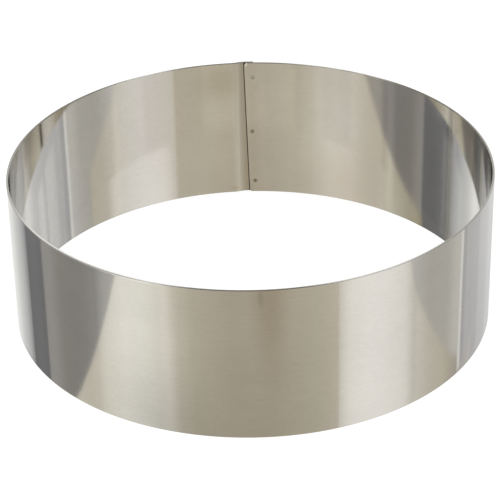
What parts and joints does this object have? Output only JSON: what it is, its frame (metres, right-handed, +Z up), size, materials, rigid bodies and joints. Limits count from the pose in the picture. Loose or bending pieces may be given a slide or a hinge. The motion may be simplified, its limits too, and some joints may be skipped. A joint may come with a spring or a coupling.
{
  "type": "tart ring",
  "caption": "Round open-ended baking ring of thin stainless steel strip, straight-sided, closed by a spot-welded lap seam; shapes tarts, cakes and layered desserts.",
  "frame": {"origin": "on the ring's axis, in the plane of its lower rim", "axes": "+Z up along the ring's axis, +Y towards the middle of the lap seam, +X to the right when the seam is seen across the ring"},
  "size_m": [0.1816, 0.1825, 0.06],
  "materials": {
    "stainless_sheet": "bright cold-rolled stainless sheet with a fine grain along the strip and faint heat tint at the welds"
  },
  "bodies": {
    "root": {"ring": "stainless_sheet"}
  },
  "joints": []
}
